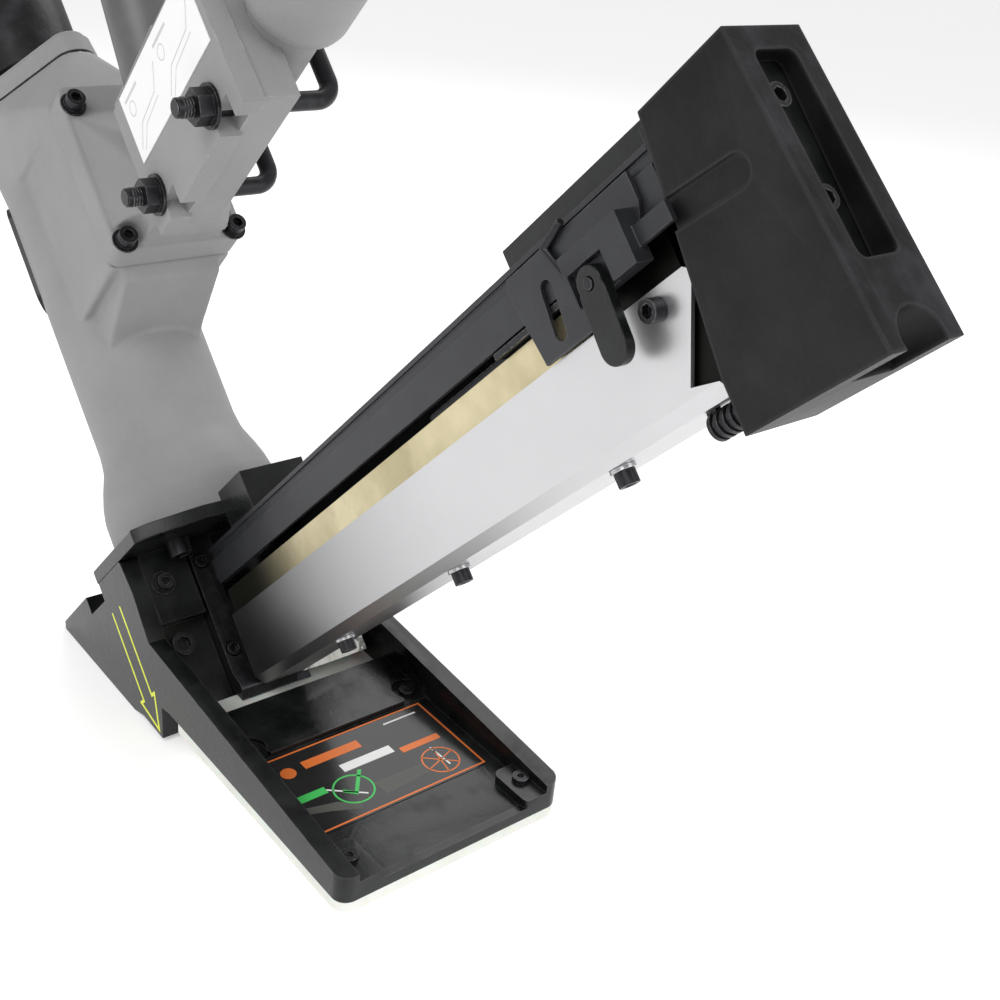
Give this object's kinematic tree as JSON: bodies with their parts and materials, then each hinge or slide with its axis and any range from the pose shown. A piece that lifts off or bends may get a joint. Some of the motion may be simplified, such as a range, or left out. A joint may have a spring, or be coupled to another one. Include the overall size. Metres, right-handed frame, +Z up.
{
  "type": "flooring nailer",
  "caption": "Pneumatic flooring nailer struck with a mallet, with a slanted magazine on a flat base that hooks over the board's edge.",
  "frame": {"origin": "centre of the sole's bottom face, on the floor board", "axes": "+X to the back of the tool, toward the operator; +Z up; +Y to the tool's left seen from the front"},
  "size_m": [0.6413, 0.12, 0.5271],
  "materials": {
    "sole_nylon": "translucent off-white",
    "black_casting": "semi-gloss black paint",
    "grey_casting": "fine matt grey powder coat",
    "black_oxide": "black oxide",
    "steel": "machined steel",
    "polished": "polished sheet",
    "label": "printed film",
    "label_white": "printed film",
    "rubber": "matt black",
    "gasket": "matt black",
    "brass": "turned",
    "tube_grey": "grey paint",
    "rail_grey": "dark grey coat",
    "gold_track": "passivated, satin",
    "silver_cover": "satin",
    "foot_alloy": "machined",
    "badge": "blank badge"
  },
  "bodies": {
    "tool": {"sole_plate": "sole_nylon", "base_frame": "black_casting", "base_screws": "black_oxide", "base_label": "label", "nose_casting": "black_casting", "nose_bolts": "black_oxide", "nose_screws": "black_oxide", "guide_plate_rear": "black_oxide", "guide_plate_front": "steel", "guide_bolts": "black_oxide", "chip_guard": "polished", "guard_screws": "black_oxide", "nose_flange": "black_casting", "flange_bolts": "black_oxide", "main_housing": "grey_casting", "side_badge": "badge", "cylinder_sleeve": "foot_alloy", "bumper": "rubber", "head_gasket": "gasket", "head_cap": "grey_casting", "head_cap_screws": "black_oxide", "handle_housing": "grey_casting", "handle_gasket": "gasket", "flange_screws": "black_oxide", "end_cap": "grey_casting", "air_plug": "brass", "clamp_bracket": "grey_casting", "bracket_label": "label_white", "hook_bolts": "black_oxide", "hook_nuts": "black_oxide", "extension_tube": "tube_grey", "extension_grip": "rubber", "rail_mount": "black_casting", "magazine_rail": "rail_grey", "magazine_track": "gold_track", "magazine_cover": "silver_cover", "top_strip": "tube_grey", "cover_bolts": "black_oxide", "lock_washers": "steel", "side_bolt": "black_oxide", "knurled_screw": "black_oxide", "end_bracket": "black_casting", "rubber_boot": "rubber", "boot_screws": "black_oxide"},
    "striker": {"strike_cap": "rubber", "plunger": "foot_alloy", "plunger_seal": "gasket", "plunger_spring": "steel"},
    "driver": {"piston": "foot_alloy", "piston_ring": "gasket", "driver_blade": "steel"},
    "pusher": {"pusher_foot": "foot_alloy", "pusher_plate": "rail_grey", "pusher_block": "rail_grey", "wire_hook": "black_oxide", "lever_pin": "steel"},
    "lever": {"pusher_lever": "black_casting"}
  },
  "joints": [
    {"name": "strike_cap_press", "type": "slide", "parent": "tool", "child": "striker", "axis": [0.7071, 0, -0.7071], "range_m": [0, 0.007], "stiffness_N_per_m": 1500, "springref_m": -0.012},
    {"name": "driver_stroke", "type": "slide", "parent": "tool", "child": "driver", "axis": [0.7071, 0, -0.7071], "range_m": [0, 0.064]},
    {"name": "pusher_slide", "type": "slide", "parent": "tool", "child": "pusher", "axis": [-0.7071, 0, -0.7071], "range_m": [0, 0.241]},
    {"name": "lever_tip", "type": "hinge", "parent": "pusher", "child": "lever", "pos_m": [0.14082, -0.026, 0.28928], "axis": [0, 1, 0], "range_deg": [-14, 14], "stiffness_Nm_per_rad": 0.05}
  ]
}
